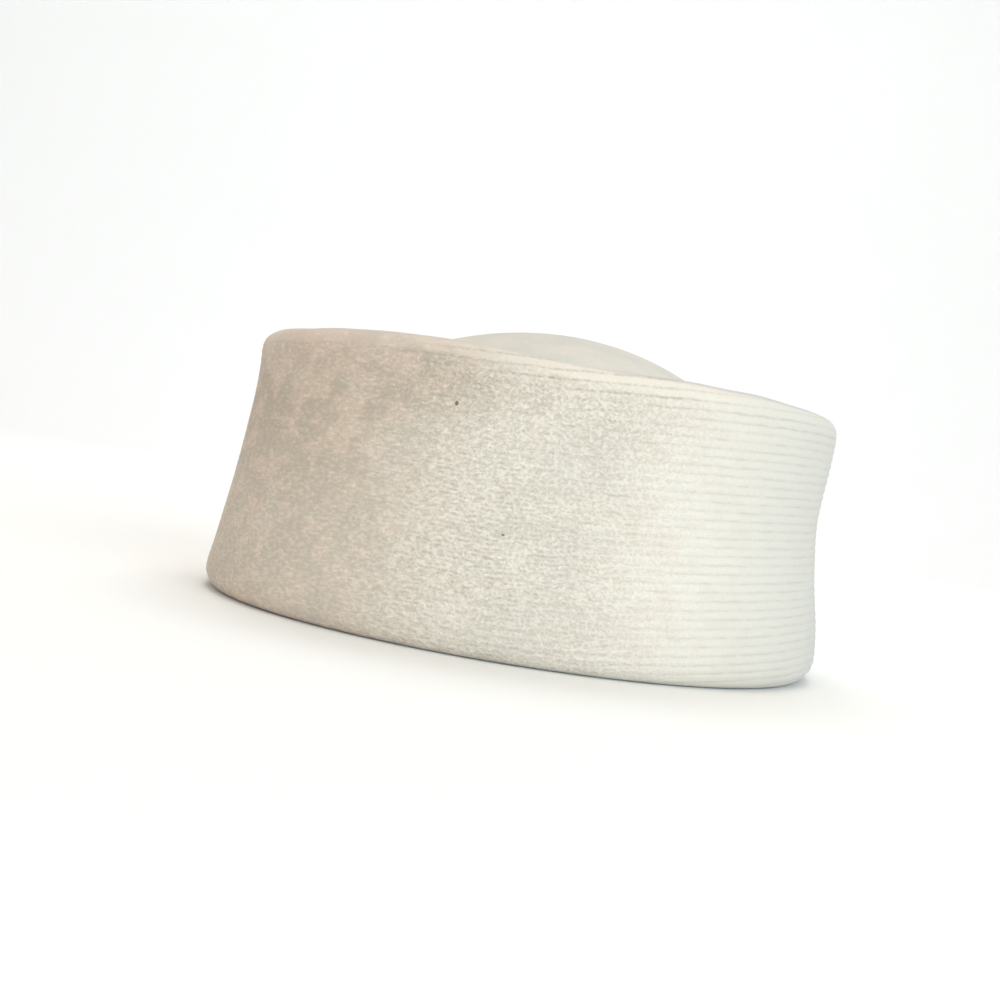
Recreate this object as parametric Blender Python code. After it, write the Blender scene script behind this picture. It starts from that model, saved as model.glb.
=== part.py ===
"""A knitted pillbox hat, in metres, +Z up: a domed crown inside a wide band of doubled knit.

The hat stands on the fold at the foot of its band. The origin is at the middle of that foot,
-Y is the front and +X is the side to the right of it.
"""

import math
from collections import namedtuple

import bmesh
import bpy

# Driving dimensions
OPENING_DIAMETER = 0.181      # where the head goes in, a size of about 57 cm round
BAND_HEIGHT = 0.087
BAND_THICKNESS = 0.0095       # two layers of thick knit
BAND_FLARE = 0.006            # how far the foot of the band stands out past its waist
EDGE_ROLL_HEIGHT = 0.0063     # the rounded fold along the top edge
FOOT_CORNER_WIDTH = 0.0066    # the rounded fold along the foot
FOOT_CORNER_HEIGHT = 0.0090
FOLD_THICKNESS = 0.0060       # the knit that passes under the crown's lower edge
FOLD_LEDGE = 0.0012           # how far that fold stands into the opening past the crown
CROWN_THICKNESS = 0.0040
CROWN_RISE = 0.0170           # the crown's top above the band's top edge
CROWN_LEAN = 0.0054           # how far the crown's top stands to the right of the middle
SHOULDER_HEIGHT = 0.0230      # where the crown's side wall turns into its dome
SEAM_GAP = 0.0003
MERGE_DISTANCE = 0.000001     # points this close at the crown's top are one

# Steps along the section of each piece, and around the hat
STEPS_AROUND = 72
CORNER_STEPS = 5
EDGE_STEPS = 8
LIP_STEPS = 8
WALL_STEPS = 9
CROWN_WALL_STEPS = 3
DOME_STEPS = 14

# The outline of the band's outer face, seen from its four sides.
# height is a share of BAND_HEIGHT. The others are shares of BAND_FLARE: 0 at the waist, 1 at the foot.
Outline = namedtuple("Outline", "height left right front back")
BAND_OUTLINE = (
    Outline(0.00, 1.40, 1.10, 1.25, 1.20),
    Outline(0.10, 1.15, 1.10, 1.10, 1.10),
    Outline(0.25, 0.80, 0.85, 0.80, 0.85),
    Outline(0.42, 0.50, 0.40, 0.45, 0.40),
    Outline(0.58, 0.20, 0.10, 0.15, 0.15),
    Outline(0.72, 0.05, 0.15, 0.10, 0.05),
    Outline(0.86, -0.05, 0.35, 0.15, 0.20),
    Outline(1.00, 0.10, 0.50, 0.30, 0.35),
)

# Soft waves of the top edge. angle is in degrees from +X and spread is half a wave's width.
# rise is a share of EDGE_ROLL_HEIGHT.
Wave = namedtuple("Wave", "angle spread rise")
EDGE_WAVES = (
    Wave(angle=-117, spread=36, rise=0.10),
    Wave(angle=-82, spread=30, rise=-0.25),
    Wave(angle=-6, spread=34, rise=0.10),
    Wave(angle=52, spread=44, rise=-0.10),
    Wave(angle=108, spread=46, rise=0.12),
    Wave(angle=-176, spread=34, rise=0.05),
)
WAVE_FADE = 3                 # the power with which a wave fades out down the band

KNIT_COLOUR = (0.79, 0.72, 0.62, 1.0)
CROWN_COLOUR = (0.74, 0.68, 0.59, 1.0)
KNIT_ROUGHNESS = 0.95

OPENING_RADIUS = OPENING_DIAMETER / 2
CROWN_RADIUS = OPENING_RADIUS + FOLD_LEDGE + CROWN_THICKNESS
BAND_INSIDE = CROWN_RADIUS + SEAM_GAP
BAND_OUTSIDE = BAND_INSIDE + BAND_THICKNESS
LIP_RADIUS = OPENING_RADIUS + FOLD_THICKNESS / 2
CROWN_FOOT = FOLD_THICKNESS + SEAM_GAP
CROWN_TOP = BAND_HEIGHT + CROWN_RISE


def clear_scene():
    """Removes whatever the scene holds."""
    for old in list(bpy.data.objects):
        bpy.data.objects.remove(old, do_unlink=True)


def knit_material(name, colour):
    """Matt woollen knit."""
    material = bpy.data.materials.new(name)
    material.use_nodes = True
    shader = material.node_tree.nodes["Principled BSDF"]
    shader.inputs["Base Color"].default_value = colour
    shader.inputs["Roughness"].default_value = KNIT_ROUGHNESS
    return material


def share_of(value, low, high):
    """How far a value lies from low to high, from 0 to 1."""
    return min(max((value - low) / (high - low), 0.0), 1.0)


def read_outline(side, share):
    """One side of BAND_OUTLINE at a share of the height, on a smooth curve through its rows."""
    rows = BAND_OUTLINE
    last = len(rows) - 1
    start = next(index for index in range(last) if share <= rows[index + 1].height)
    slopes = []
    for index in (start, start + 1):
        low, high = rows[max(index - 1, 0)], rows[min(index + 1, last)]
        slopes.append((getattr(high, side) - getattr(low, side)) / (high.height - low.height))
    below, above = rows[start], rows[start + 1]
    step = above.height - below.height
    along = (share - below.height) / step
    back = 1 - along
    return (
        getattr(below, side) * back**2 * (1 + 2 * along)
        + getattr(above, side) * along**2 * (1 + 2 * back)
        + step * along * back * (slopes[0] * back - slopes[1] * along)
    )


def outline_shift(angle, height):
    """How far the band stands out past BAND_OUTSIDE, on a smooth way round from each side to the next."""
    share = share_of(height, 0.0, BAND_HEIGHT)
    right, left, front, back = (read_outline(side, share) for side in ("right", "left", "front", "back"))
    reach = (
        (right + left + front + back) / 4
        + (right - left) / 2 * math.cos(angle)
        + (back - front) / 2 * math.sin(angle)
        + (right + left - front - back) / 4 * math.cos(2 * angle)
    )
    return BAND_FLARE * (reach - 1)


def edge_lift(angle, height):
    """How far the soft waves of the top edge lift a point of the band."""
    lift = 0.0
    for wave in EDGE_WAVES:
        away = abs((math.degrees(angle) - wave.angle + 180) % 360 - 180)
        if away < wave.spread:
            lift += wave.rise * EDGE_ROLL_HEIGHT * (1 + math.cos(math.pi * away / wave.spread)) / 2
    return lift * share_of(height, 0.0, BAND_HEIGHT) ** WAVE_FADE


def arc(centre, radii, start, end, steps):
    """Points of a section on part of an ellipse, from start to end in degrees, both included."""
    points = []
    for step in range(steps + 1):
        turn = math.radians(start + (end - start) * step / steps)
        points.append((centre[0] + radii[0] * math.cos(turn), centre[1] + radii[1] * math.sin(turn)))
    return points


def wall(radius, start, end, steps):
    """Points of a section straight up or down one face, both ends left out."""
    return [(radius, start + (end - start) * step / steps) for step in range(1, steps)]


def band_section():
    """The band's closed section: up its outer face, over the top edge, down and under the crown."""
    half = BAND_THICKNESS / 2
    edge_start = BAND_HEIGHT - EDGE_ROLL_HEIGHT
    corner = (FOOT_CORNER_WIDTH, FOOT_CORNER_HEIGHT)
    points = arc((BAND_OUTSIDE - corner[0], corner[1]), corner, -90, 0, CORNER_STEPS)
    points += wall(BAND_OUTSIDE, FOOT_CORNER_HEIGHT, edge_start, WALL_STEPS)
    points += arc((BAND_OUTSIDE - half, edge_start), (half, EDGE_ROLL_HEIGHT), 0, 180, EDGE_STEPS)
    points += wall(BAND_INSIDE, edge_start, FOLD_THICKNESS, WALL_STEPS)
    points.append((BAND_INSIDE, FOLD_THICKNESS))
    points += arc((LIP_RADIUS, FOLD_THICKNESS / 2), (FOLD_THICKNESS / 2,) * 2, 90, 270, LIP_STEPS)
    return points


def shape_band(point):
    """Moves a point of the band to its outline and up by the edge's waves. The lip stays round."""
    angle = math.atan2(point.y, point.x)
    radius = math.hypot(point.x, point.y)
    spread = radius + outline_shift(angle, point.z) * share_of(radius, LIP_RADIUS, BAND_INSIDE)
    height = point.z + edge_lift(angle, point.z)
    return spread * math.cos(angle), spread * math.sin(angle), height


def crown_section(depth):
    """One face of the crown, from its foot to its top. depth is how far it lies inside the outer face."""
    radius = CROWN_RADIUS - depth
    points = [(radius, CROWN_FOOT)]
    points += wall(radius, CROWN_FOOT, SHOULDER_HEIGHT, CROWN_WALL_STEPS)
    dome = (radius, CROWN_TOP - depth - SHOULDER_HEIGHT)
    points += arc((0.0, SHOULDER_HEIGHT), dome, 0, 90, DOME_STEPS)
    return points


def shape_crown(point, depth):
    """Moves a point of the crown to the inside of the band, and leans the dome to the right."""
    angle = math.atan2(point.y, point.x)
    radius = math.hypot(point.x, point.y)
    out = share_of(radius, 0.0, CROWN_RADIUS - depth)
    spread = radius + outline_shift(angle, min(point.z, SHOULDER_HEIGHT)) * out
    up = share_of(point.z, SHOULDER_HEIGHT, CROWN_TOP)
    across = spread * math.cos(angle) + CROWN_LEAN * up**2
    ahead = spread * math.sin(angle)
    if point.z < BAND_HEIGHT:
        room = CROWN_RADIUS - depth + outline_shift(angle, point.z)
        fit = min(room / math.hypot(across, ahead), 1.0)
        across, ahead = across * fit, ahead * fit
    return across, ahead, point.z


def draw_section(model, section):
    """The vertices of a section that is given as radius and height."""
    return [model.verts.new((radius, 0.0, height)) for radius, height in section]


def spin_section(model, points, closed):
    """Turns a section's vertices round the hat's axis."""
    pairs = list(zip(points, points[1:]))
    if closed:
        pairs.append((points[-1], points[0]))
    edges = [model.edges.new(pair) for pair in pairs]
    bmesh.ops.spin(
        model, geom=points + edges, axis=(0, 0, 1), cent=(0, 0, 0),
        angle=2 * math.pi, steps=STEPS_AROUND, use_merge=True,
    )
    bmesh.ops.remove_doubles(model, verts=model.verts, dist=MERGE_DISTANCE)


def add_object(name, model, material):
    """Turns a bmesh into a named, smoothly shaded object in the scene."""
    mesh = bpy.data.meshes.new(name)
    bmesh.ops.recalc_face_normals(model, faces=model.faces)
    model.to_mesh(mesh)
    model.free()
    mesh.shade_smooth()
    mesh.materials.append(material)
    made = bpy.data.objects.new(name, mesh)
    bpy.context.scene.collection.objects.link(made)


def make_band():
    """The wide band: knit turned double over its top edge, and folded under the crown at its foot."""
    model = bmesh.new()
    spin_section(model, draw_section(model, band_section()), closed=True)
    for vert in model.verts:
        vert.co = shape_band(vert.co)
    add_object("band", model, knit_material("band_knit", KNIT_COLOUR))


def make_crown():
    """The crown: one layer of knit, a side wall inside the band and a dome over the head."""
    model = bmesh.new()
    depths = model.verts.layers.float.new("depth")
    points = []
    for depth in (CROWN_THICKNESS, 0.0):
        face = draw_section(model, crown_section(depth))
        for vert in face:
            vert[depths] = depth
        points = points[::-1] + face
    spin_section(model, points, closed=False)
    for vert in model.verts:
        vert.co = shape_crown(vert.co, vert[depths])
    add_object("crown", model, knit_material("crown_knit", CROWN_COLOUR))


clear_scene()
make_band()
make_crown()
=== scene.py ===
import math
from collections import namedtuple

import bmesh
import bpy
from mathutils import Matrix, Vector, noise


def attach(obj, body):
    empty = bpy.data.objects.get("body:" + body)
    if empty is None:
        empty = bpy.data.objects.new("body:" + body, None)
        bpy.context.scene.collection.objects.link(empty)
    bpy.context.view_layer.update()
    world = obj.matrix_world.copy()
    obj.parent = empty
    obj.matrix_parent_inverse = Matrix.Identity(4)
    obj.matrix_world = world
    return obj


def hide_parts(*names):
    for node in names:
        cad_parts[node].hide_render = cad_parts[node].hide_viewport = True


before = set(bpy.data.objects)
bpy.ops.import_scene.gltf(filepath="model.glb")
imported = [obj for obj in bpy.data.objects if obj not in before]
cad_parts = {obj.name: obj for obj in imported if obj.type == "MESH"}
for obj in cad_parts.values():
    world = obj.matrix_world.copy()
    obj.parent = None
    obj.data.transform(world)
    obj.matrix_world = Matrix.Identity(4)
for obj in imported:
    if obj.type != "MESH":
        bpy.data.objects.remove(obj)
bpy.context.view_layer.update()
scene = bpy.context.scene
scene.view_settings.view_transform = "Standard"

# Camera
# It stands as low as the middle of the band, looks level at the hat's front and is rolled over
# to the left, so that the hat, which stands flat on the floor, appears tilted down to the right.
CAMERA_PLACE = Vector((0.0033, -0.4492, 0.0482))
CAMERA_TURN = math.radians(1.64)
CAMERA_DIP = math.radians(0.6)
CAMERA_ROLL = math.radians(9.26)
CAMERA_LENS = 45.5
NEAREST_SEEN = 0.01

lens = bpy.data.cameras.new("camera")
lens.lens = CAMERA_LENS
lens.clip_start = NEAREST_SEEN
camera = bpy.data.objects.new("camera", lens)
facing = Matrix.Rotation(CAMERA_TURN, 4, "Z") @ Matrix.Rotation(math.pi / 2 - CAMERA_DIP, 4, "X")
rolled = facing @ Matrix.Rotation(CAMERA_ROLL, 4, "Z")
camera.matrix_world = Matrix.Translation(CAMERA_PLACE) @ rolled
scene.collection.objects.link(camera)
scene.camera = camera

# Band
# The wide turned-up band is thick wool knitted double in ribs that run round it, then felted.
# The right side keeps its ribs, and to the left they have matted into a soft, mottled nap.
# A smooth roll closes the top edge along a row of stitches, and the foot is folded under the crown.
RIB_PITCH = 0.0026
RIB_DEPTH = 0.00020
RIB_START = 0.0              # the height at which a rib's crest passes the middle of the front
RIB_CLIMB = (0.0, 0.10)      # how steeply the ribs climb to the right on the left and right side
RIB_BEND = 0.015             # how softly the one slope turns into the other
MATTED_RELIEF = 0.15         # the share of a rib's depth that is left where the wool has matted
ROLL_HEIGHT = 0.0046         # the plain top edge, which has no ribs
EDGE_ROWS_END = 0.0110       # down to here below the rim, the ribs are clear on the left side too
FOOT_HEIGHT = 0.0030
FADE_HEIGHT = 0.0018
MATTED_SIDE = -0.030         # left of this the ribs are gone
CRISP_SIDE = 0.045           # right of this they are all there
SIDE_WANDER = 0.5            # how unevenly the one side passes into the other
LUMP_SIZE = 0.018            # the soft unevenness of felted wool
LUMP_DEPTH = 0.00035
LUMP_SHIFT = Vector((7, 3, 1))
FACING_FADE = (0.2, 0.7)     # how far outwards the wool faces where ribs start and are full
ROUNDING_LEVELS = 2
ROWS_BETWEEN = 3             # rows added between two rows of the mesh, so that ribs have a section
UPRIGHT_SHARE = 0.5          # an edge that rises by more than this share of its length is upright
OUTER_FACING = 0.75          # an edge that looks outwards by more than this is on the outer face
RIM_SECTORS = 72
MERGE_DISTANCE = 0.00001


def rounded_copy(node, levels):
    """A bmesh of a frame node whose facets are rounded off."""
    model = bmesh.new()
    model.from_mesh(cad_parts[node].data)
    bmesh.ops.remove_doubles(model, verts=model.verts, dist=MERGE_DISTANCE)
    bmesh.ops.join_triangles(
        model, faces=model.faces, angle_face_threshold=math.pi, angle_shape_threshold=math.pi
    )
    mesh = bpy.data.meshes.new("rounding")
    model.to_mesh(mesh)
    holder = bpy.data.objects.new("rounding", mesh)
    scene.collection.objects.link(holder)
    rounding = holder.modifiers.new("rounding", "SUBSURF")
    rounding.levels = rounding.render_levels = levels
    model.clear()
    model.from_object(holder, bpy.context.evaluated_depsgraph_get())
    bpy.data.objects.remove(holder)
    bpy.data.meshes.remove(mesh)
    model.normal_update()
    return model


def smooth_step(value, low, high):
    """0 up to low and 1 from high on, with a soft passage between, or the other way round."""
    share = min(max((value - low) / (high - low), 0.0), 1.0)
    return share * share * (3 - 2 * share)


def outward(place, normal):
    """How far a normal of the hat points away from its axis, from -1 to 1."""
    flat = Vector((place.x, place.y, 0.0))
    return normal.dot(flat.normalized()) if flat.length else 0.0


def add_piece(name, model, material, node):
    """Makes a finished, smoothly shaded piece of a bmesh and gives it to the frame."""
    mesh = bpy.data.meshes.new(name)
    model.to_mesh(mesh)
    model.free()
    mesh.shade_smooth()
    mesh.materials.append(material)
    piece = bpy.data.objects.new(name, mesh)
    scene.collection.objects.link(piece)
    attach(piece, "root")
    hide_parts(node)


def rib_phase(place_x, place_z, root):
    """Counts the ribs upwards at a place on the band, from numbers or from a material's outputs."""
    slope = (RIB_CLIMB[1] + RIB_CLIMB[0]) / 2
    turn = (RIB_CLIMB[1] - RIB_CLIMB[0]) / 2
    climb = slope * place_x + turn * root(place_x * place_x + RIB_BEND * RIB_BEND)
    return (place_z - RIB_START - climb) / RIB_PITCH


def rib_clearness(point):
    """How clear the ribs are at a point of the band: 0 where the wool has matted, 1 where not."""
    wander = noise.noise(point / LUMP_SIZE) * SIDE_WANDER
    side = (point.x - MATTED_SIDE) / (CRISP_SIDE - MATTED_SIDE)
    return smooth_step(side + wander, 0.0, 1.0)


model = rounded_copy("band", ROUNDING_LEVELS)
rim_heights = [0.0] * RIM_SECTORS
for vert in model.verts:
    turned = math.atan2(vert.co.y, vert.co.x) / (2 * math.pi)
    sector = round(turned * RIM_SECTORS) % RIM_SECTORS
    rim_heights[sector] = max(rim_heights[sector], vert.co.z)


def below_rim(point):
    """How far a point lies below the top of the roll at its own place round the band."""
    sector = math.atan2(point.y, point.x) / (2 * math.pi) * RIM_SECTORS
    first = math.floor(sector)
    along = sector - first
    here, after = (rim_heights[index % RIM_SECTORS] for index in (first, first + 1))
    return here * (1 - along) + after * along - point.z


upright = []
for edge in model.edges:
    run = edge.verts[1].co - edge.verts[0].co
    looks_out = min(outward(vert.co, vert.normal) for vert in edge.verts) > OUTER_FACING
    if looks_out and abs(run.z) > UPRIGHT_SHARE * run.length:
        upright.append(edge)
bmesh.ops.subdivide_edges(model, edges=upright, cuts=ROWS_BETWEEN, use_grid_fill=True)
model.normal_update()
clearness = model.verts.layers.float.new("clearness")
rim_distance = model.verts.layers.float.new("rim_distance")
moves = []
for vert in model.verts:
    point = vert.co.copy()
    from_rim = below_rim(point)
    vert[clearness] = rib_clearness(point)
    vert[rim_distance] = from_rim
    facing_out = smooth_step(outward(point, vert.normal), *FACING_FADE)
    below_roll = smooth_step(from_rim, ROLL_HEIGHT, ROLL_HEIGHT + FADE_HEIGHT)
    above_foot = smooth_step(point.z, FOOT_HEIGHT, FOOT_HEIGHT + FADE_HEIGHT)
    rib = math.cos(2 * math.pi * rib_phase(point.x, point.z, math.sqrt))
    shown = max(vert[clearness], smooth_step(from_rim, EDGE_ROWS_END, ROLL_HEIGHT))
    strength = (MATTED_RELIEF + (1 - MATTED_RELIEF) * shown) * below_roll * above_foot
    relief = RIB_DEPTH / 2 * rib * strength
    lump = LUMP_DEPTH * noise.noise(point / LUMP_SIZE + LUMP_SHIFT) * above_foot
    moves.append(vert.normal * (relief * facing_out + lump))
for vert, move in zip(model.verts, moves):
    vert.co += move

SHEEN = 0.08
SHEEN_ROUGHNESS = 0.6
SPECULAR = 0.15
WOOL_ROUGHNESS = 0.85


class Output:
    """An output of a material's node, on which Python's operators add Math nodes."""

    def __init__(self, wool, socket):
        self.wool = wool
        self.socket = socket

    def math(self, operation, *values):
        return self.wool.add("ShaderNodeMath", {"operation": operation}, dict(enumerate(values)))

    def __add__(self, other):
        return self.math("ADD", self, other)

    def __radd__(self, other):
        return self.math("ADD", other, self)

    def __sub__(self, other):
        return self.math("SUBTRACT", self, other)

    def __rsub__(self, other):
        return self.math("SUBTRACT", other, self)

    def __mul__(self, other):
        return self.math("MULTIPLY", self, other)

    def __rmul__(self, other):
        return self.math("MULTIPLY", other, self)

    def __truediv__(self, other):
        return self.math("DIVIDE", self, other)

    def __pow__(self, other):
        return self.math("POWER", self, other)

    def wave(self):
        """A cosine between 0 and 1 that peaks at each whole number."""
        return self.math("COSINE", self * (2 * math.pi)) * 0.5 + 0.5

    def root(self):
        return self.math("SQRT", self)

    def between(self, low, high):
        """0 up to low and 1 from high on, or the other way round if low is the larger."""
        settings = {"interpolation_type": "SMOOTHSTEP"}
        values = {"Value": self, "From Min": low, "From Max": high}
        return self.wool.add("ShaderNodeMapRange", settings, values)


class Wool:
    """A woollen material, matt and with a soft sheen, and the nodes that are added to it."""

    def __init__(self, name):
        self.material = bpy.data.materials.new(name)
        self.material.use_nodes = True
        self.tree = self.material.node_tree
        self.shader = self.tree.nodes["Principled BSDF"]
        self.shader.inputs["Sheen Weight"].default_value = SHEEN
        self.shader.inputs["Sheen Roughness"].default_value = SHEEN_ROUGHNESS
        self.shader.inputs["Specular IOR Level"].default_value = SPECULAR
        self.place = self.add("ShaderNodeTexCoord", output="Object")
        self.x = self.add("ShaderNodeSeparateXYZ", {}, {0: self.place}, "X")
        self.y = self.add("ShaderNodeSeparateXYZ", {}, {0: self.place}, "Y")
        self.z = self.add("ShaderNodeSeparateXYZ", {}, {0: self.place}, "Z")

    def add(self, kind, settings=None, values=None, output=0):
        """Adds a node, sets it, links or fills its sockets and returns one of its outputs."""
        node = self.tree.nodes.new(kind)
        for name, setting in (settings or {}).items():
            setattr(node, name, setting)
        for socket, value in (values or {}).items():
            if isinstance(value, Output):
                self.tree.links.new(value.socket, node.inputs[socket])
            else:
                node.inputs[socket].default_value = value
        return Output(self, node.outputs[output])

    def attribute(self, name):
        return self.add("ShaderNodeAttribute", {"attribute_name": name}, output="Fac")

    def noise(self, size, detail=2.0, roughness=0.5, length=1.0):
        """Soft noise of a size in metres, and length times as long round the hat as up it."""
        values = {"Vector": self.place, "Scale": (length, length, 1.0)}
        place = self.add("ShaderNodeMapping", {"vector_type": "TEXTURE"}, values)
        values = {"Vector": place, "Scale": 1 / size, "Detail": detail, "Roughness": roughness}
        return self.add("ShaderNodeTexNoise", {}, values, "Fac")

    def mix(self, share, first, second):
        """A colour between two others."""
        return self.add("ShaderNodeMix", {"data_type": "RGBA"}, {0: share, 6: first, 7: second}, 2)

    def finish(self, colour, roughness, height):
        """Joins the colour, the roughness and the relief, which is in metres, to the shader."""
        bump = self.add("ShaderNodeBump", {}, {"Height": height, "Distance": 1.0}, "Normal")
        self.tree.links.new(colour.socket, self.shader.inputs["Base Color"])
        self.tree.links.new(roughness.socket, self.shader.inputs["Roughness"])
        self.tree.links.new(bump.socket, self.shader.inputs["Normal"])
        return self.material


CREAM = (0.77, 0.710, 0.630, 1.0)
OATMEAL = (0.70, 0.620, 0.530, 1.0)
ROSY = (0.625, 0.500, 0.410, 1.0)
BLUSH = (0.72, 0.630, 0.545, 1.0)
SAGE = (0.475, 0.402, 0.328, 1.0)
ROLL_CREST_SHADE = (0.41, 0.40, 0.395, 1.0)
PINK = (0.665, 0.525, 0.445, 1.0)
PEARL = (0.658, 0.622, 0.562, 1.0)
RIGHT_EDGE_SHADE = (0.54, 0.535, 0.515, 1.0)
SHADED = (0.36, 0.315, 0.250, 1.0)
HIGHLIGHT_CREAM = (0.86, 0.805, 0.725, 1.0)
LINT_COLOUR = (0.12, 0.09, 0.07, 1.0)

# The sizes of the wool's unevenness, in metres
DASH_SIZE = 0.0022
STITCH_SIZE = 0.0008
CURL_SIZE = 0.0009
FIBRE_SIZE = 0.0007
WANDER_SIZE = 0.009
PATCH_SIZE = 0.006
CLOUD_SIZE = 0.020

# The relief of each, in metres
GAP_DEPTH = 0.00012
CURL_HEIGHT = 0.00006
ROW_HEIGHT = 0.00005
FIBRE_HEIGHT = 0.00010
FLECK_HEIGHT = 0.00012
VALLEY_DEPTH = 0.00008

# Two specks of dark lint. flatness is how much shorter a speck is up the band than round it.
Speck = namedtuple("Speck", "place flatness")
LINT = (
    Speck(place=(-0.0230, -0.0973, 0.0692), flatness=0.75),
    Speck(place=(-0.0043, -0.1022, 0.0352), flatness=1.7),
)
LINT_SIZE = 0.0007

wool = Wool("band wool")
clear = wool.attribute("clearness")
depth = wool.attribute("rim_distance")
body = depth.between(ROLL_HEIGHT - 0.0008, ROLL_HEIGHT + 0.0006)
middle = wool.x.between(-0.070, -0.005) * wool.x.between(0.062, 0.018)
edge_rows = depth.between(EDGE_ROWS_END, ROLL_HEIGHT) * wool.x.between(-0.050, -0.015)
edge_rows = edge_rows * (1 - 0.6 * wool.x.between(0.030, 0.055))
wander = wool.noise(WANDER_SIZE) - 0.5
ribs = rib_phase(wool.x, wool.z, Output.root) + 0.25 * wander
valley = (1 - ribs.wave()) ** 5
dashes = wool.noise(DASH_SIZE, length=3.0).between(0.40, 0.62)
stitches = wool.noise(STITCH_SIZE, 1.0, length=1.6).between(0.42, 0.56)
gaps = wool.noise(STITCH_SIZE, 2.0, 0.55, length=1.5).between(0.60, 0.42)
curls = wool.noise(CURL_SIZE, 2.0, 0.6, length=1.2).between(0.52, 0.68)
courses = (ribs * 2 + 1.5 * wander).wave()
rows = 0.25 + 0.6 * courses * depth.between(0.010, 0.040)
fine = wool.noise(FIBRE_SIZE, 3.0, 0.65)
flecks = wool.noise(CURL_SIZE, 2.0, 0.6, length=2.4)
cloud = wool.noise(CLOUD_SIZE, length=1.6)
patch = wool.noise(PATCH_SIZE, length=1.6)
grain = body * (0.10 + 0.90 * middle) * (1 - 0.5 * edge_rows)
height = (
    -GAP_DEPTH * gaps * grain
    + CURL_HEIGHT * curls * grain
    + ROW_HEIGHT * rows * grain
    + FIBRE_HEIGHT * fine * (1 - 0.6 * clear)
    + FLECK_HEIGHT * flecks * (1 - clear) * body
    - VALLEY_DEPTH * valley * clear * body
)

# The colours, from cream in the middle to rosy and matted on the left and cool on the right.
# The rosy, darker left is partly matted wool and partly painted warm shade.
matted = (1 - clear) * (wool.x - 0.025 * depth.between(0.030, 0.005)).between(-0.012, -0.054)
tone = wool.mix((cloud * 0.6 + patch * 0.4).between(0.36, 0.66) * 0.5, CREAM, OATMEAL)
tone = wool.mix(patch.between(0.48, 0.62) * 0.35, tone, BLUSH)
# Painted shade: the wool is darker towards the top of the band.
tone = wool.mix(depth.between(0.035, 0.008) * 0.4, tone, OATMEAL)
upper = depth.between(0.070, 0.015)
# Partly painted warm shade: the matted wool on the left turns rosier and darker.
matted_and_shaded_tone = wool.mix((patch * 0.7 + cloud * 0.3).between(0.55, 0.45) * 0.85, ROSY, SAGE)
matted_and_shaded_share = matted * (0.62 + 0.38 * upper) * (0.6 + 0.4 * depth.between(0.0, 0.009))
tone = wool.mix(matted_and_shaded_share, tone, matted_and_shaded_tone)
# Partly painted warm shade: the top of the far left, near the roll, turns pinker.
tone = wool.mix(depth.between(0.018, 0.005) * wool.x.between(-0.045, -0.070) * 0.6, tone, PINK)
cool_cloud = cloud.between(0.50, 0.66) * (1 - wool.x.between(0.0, 0.06)) * 0.4
# Partly painted cool light: the right side turns a cooler pearl; the cool patches further left are
# random tone.
tone = wool.mix(wool.x.between(0.030, 0.095) + cool_cloud, tone, PEARL)
# Painted shade: a grey band along the right edge, which turns away from the light.
tone = wool.mix(wool.x.between(0.090, 0.107) * 0.85, tone, RIGHT_EDGE_SHADE)
# Painted shade in the relief's low parts: the stitch gaps, the rib grooves and the low spots of the
# fibres and flecks.
dark = (
    gaps * (1.1 - rows) * grain * 0.42
    + valley * clear * body * (0.4 + 0.6 * dashes) * wool.x.between(0.110, 0.085) * 0.23
    + valley * edge_rows * (0.35 + 0.65 * stitches) * 0.45
    + fine.between(0.62, 0.35) * (1 - 0.6 * clear) * 0.16
    + flecks.between(0.60, 0.38) * (1 - clear) * body * 0.28
)
tone = wool.mix(dark, tone, SHADED)
# Painted highlight on the raised curls and flecks.
raised_fibre_highlight = curls * grain + 0.5 * flecks.between(0.56, 0.70) * (1 - clear)
tone = wool.mix(raised_fibre_highlight * 0.39, tone, HIGHLIGHT_CREAM)
# Painted shade: the crest of the roll, which faces away from the light, is greyed, more so on the
# right.
crest = depth.between(0.0015, 0.0002) * (0.25 + 0.40 * wool.x.between(-0.01, 0.04))
tone = wool.mix(crest, tone, ROLL_CREST_SHADE)
for speck in LINT:
    flat = (1.0, 1.0, speck.flatness)
    centre = (*speck.place[:2], speck.place[2] * speck.flatness)
    squeezed = wool.add("ShaderNodeVectorMath", {"operation": "MULTIPLY"}, {0: wool.place, 1: flat})
    apart = {0: squeezed, 1: centre}
    away = wool.add("ShaderNodeVectorMath", {"operation": "DISTANCE"}, apart, "Value")
    tone = wool.mix(away.between(LINT_SIZE, LINT_SIZE / 2) * 0.85, tone, LINT_COLOUR)
rough = WOOL_ROUGHNESS + 0.1 * fine
add_piece("band_knit", model, wool.finish(tone, rough, height), "band")

# Crown
# The crown is one layer of finer, smoother wool in a greyer, darker beige, which is partly painted
# shade, knitted in rounds from its lower edge to the top and joined to the fold at the band's foot.
COURSE_HEIGHT = 0.0012
WALES_AROUND = 420
WALE_RELIEF = 0.00005
COURSE_RELIEF = 0.00003
GREIGE = (0.66, 0.615, 0.545, 1.0)
ASH = (0.60, 0.57, 0.515, 1.0)

model = rounded_copy("crown", ROUNDING_LEVELS)
wool = Wool("crown wool")
angle = wool.x.math("ARCTAN2", wool.y, wool.x) / (2 * math.pi)
wales = (angle * WALES_AROUND).wave()
courses = (wool.z / COURSE_HEIGHT).wave()
fine = wool.noise(CURL_SIZE, 3.0, 0.6)
cloud = wool.noise(CLOUD_SIZE)
height = WALE_RELIEF * wales + COURSE_RELIEF * courses + FIBRE_HEIGHT * fine
# Partly painted shade: the crown is a darker, greyer beige than the band, in random clouds.
tone = wool.mix(cloud.between(0.35, 0.65), GREIGE, ASH)
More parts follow.
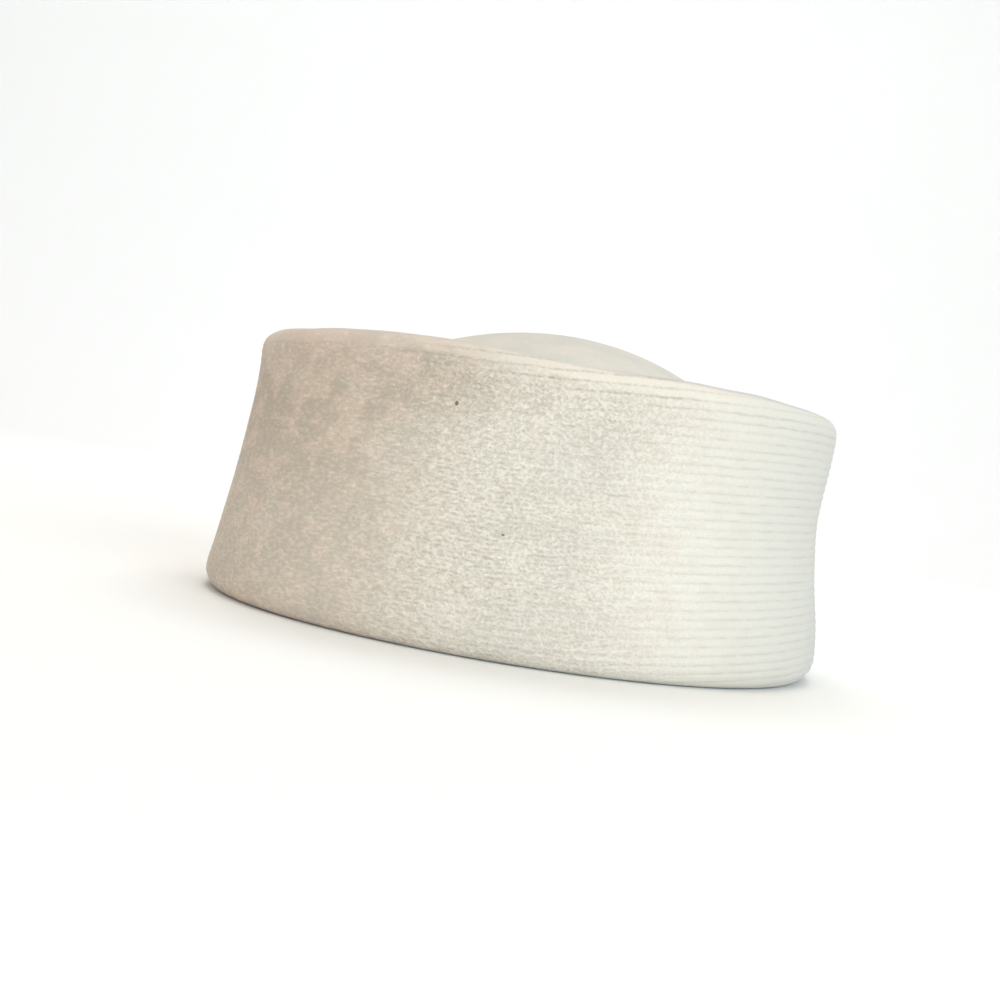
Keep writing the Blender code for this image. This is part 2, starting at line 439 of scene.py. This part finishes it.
# Painted shade in the low spots of the fine relief.
tone = wool.mix(fine.between(0.62, 0.35) * 0.15, tone, SHADED)
rough = WOOL_ROUGHNESS + 0.1 * fine
add_piece("crown_knit", model, wool.finish(tone, rough, height), "crown")

# Floor and light
# A pale floor runs out all round the hat and curves up into a pale wall. A large soft light as cool
# as a window's stands in front and to the right, and a weaker warm one in front and to the left.
# Two larger ones hang high up, in front of the hat and behind it.
FLOOR_RADIUS = 2.2
CURVE_RADIUS = 1.5
WALL_HEIGHT = 3.6
CURVE_STEPS = 16
FLOOR_STEPS = 64
PAPER = (0.93, 0.93, 0.92, 1.0)
PAPER_ROUGHNESS = 0.9

model = bmesh.new()
floor_middle = model.verts.new((0.0, 0.0, 0.0))
floor_edge = model.verts.new((FLOOR_RADIUS, 0.0, 0.0))
model.edges.new((floor_middle, floor_edge))
curve = bmesh.ops.spin(
    model, geom=[floor_edge], axis=(0, -1, 0), cent=(FLOOR_RADIUS, 0.0, CURVE_RADIUS),
    angle=math.pi / 2, steps=CURVE_STEPS,
)
curve_end = next(part for part in curve["geom_last"] if isinstance(part, bmesh.types.BMVert))
wall_top = model.verts.new((curve_end.co.x, 0.0, WALL_HEIGHT))
model.edges.new((curve_end, wall_top))
bmesh.ops.spin(
    model, geom=model.verts[:] + model.edges[:], axis=(0, 0, 1), cent=(0, 0, 0),
    angle=2 * math.pi, steps=FLOOR_STEPS, use_merge=True,
)
bmesh.ops.remove_doubles(model, verts=model.verts, dist=MERGE_DISTANCE)
bmesh.ops.recalc_face_normals(model, faces=model.faces)
bmesh.ops.reverse_faces(model, faces=model.faces)
mesh = bpy.data.meshes.new("floor")
model.to_mesh(mesh)
model.free()
mesh.shade_smooth()
paper = bpy.data.materials.new("paper")
paper.use_nodes = True
paper_shader = paper.node_tree.nodes["Principled BSDF"]
paper_shader.inputs["Base Color"].default_value = PAPER
paper_shader.inputs["Roughness"].default_value = PAPER_ROUGHNESS
mesh.materials.append(paper)
floor = bpy.data.objects.new("floor", mesh)
scene.collection.objects.link(floor)


def add_light(name, place, aim, size, power, colour):
    """A square soft light that faces a point."""
    light = bpy.data.lights.new(name, "AREA")
    light.shape = "SQUARE"
    light.size = size
    light.energy = power
    light.color = colour
    holder = bpy.data.objects.new(name, light)
    holder.location = place
    holder.rotation_euler = (Vector(aim) - Vector(place)).to_track_quat("-Z", "Y").to_euler()
    scene.collection.objects.link(holder)


HAT_MIDDLE = (0.0, 0.0, 0.05)
add_light(
    "window", place=(1.05, -1.6, 0.6), aim=HAT_MIDDLE,
    size=1.2, power=22.0, colour=(0.64, 0.86, 1.0),
)
add_light(
    "fill", place=(-0.3, -1.9, 0.4), aim=HAT_MIDDLE,
    size=1.2, power=8.0, colour=(1.0, 0.90, 0.80),
)
add_light(
    "overhead", place=(0.1, -0.9, 2.6), aim=(0.0, -0.6, 0.0),
    size=2.0, power=18.0, colour=(1.0, 0.80, 0.55),
)
add_light(
    "sky", place=(0.0, 1.4, 2.6), aim=(0.0, 2.0, 0.0),
    size=2.0, power=46.0, colour=(0.95, 0.97, 1.0),
)

WHITE = (1.0, 1.0, 1.0, 1.0)
ROOM_STRENGTH = 0.32
room = bpy.data.worlds.new("room")
room.use_nodes = True
room.node_tree.nodes["Background"].inputs["Color"].default_value = WHITE
room.node_tree.nodes["Background"].inputs["Strength"].default_value = ROOM_STRENGTH
scene.world = room
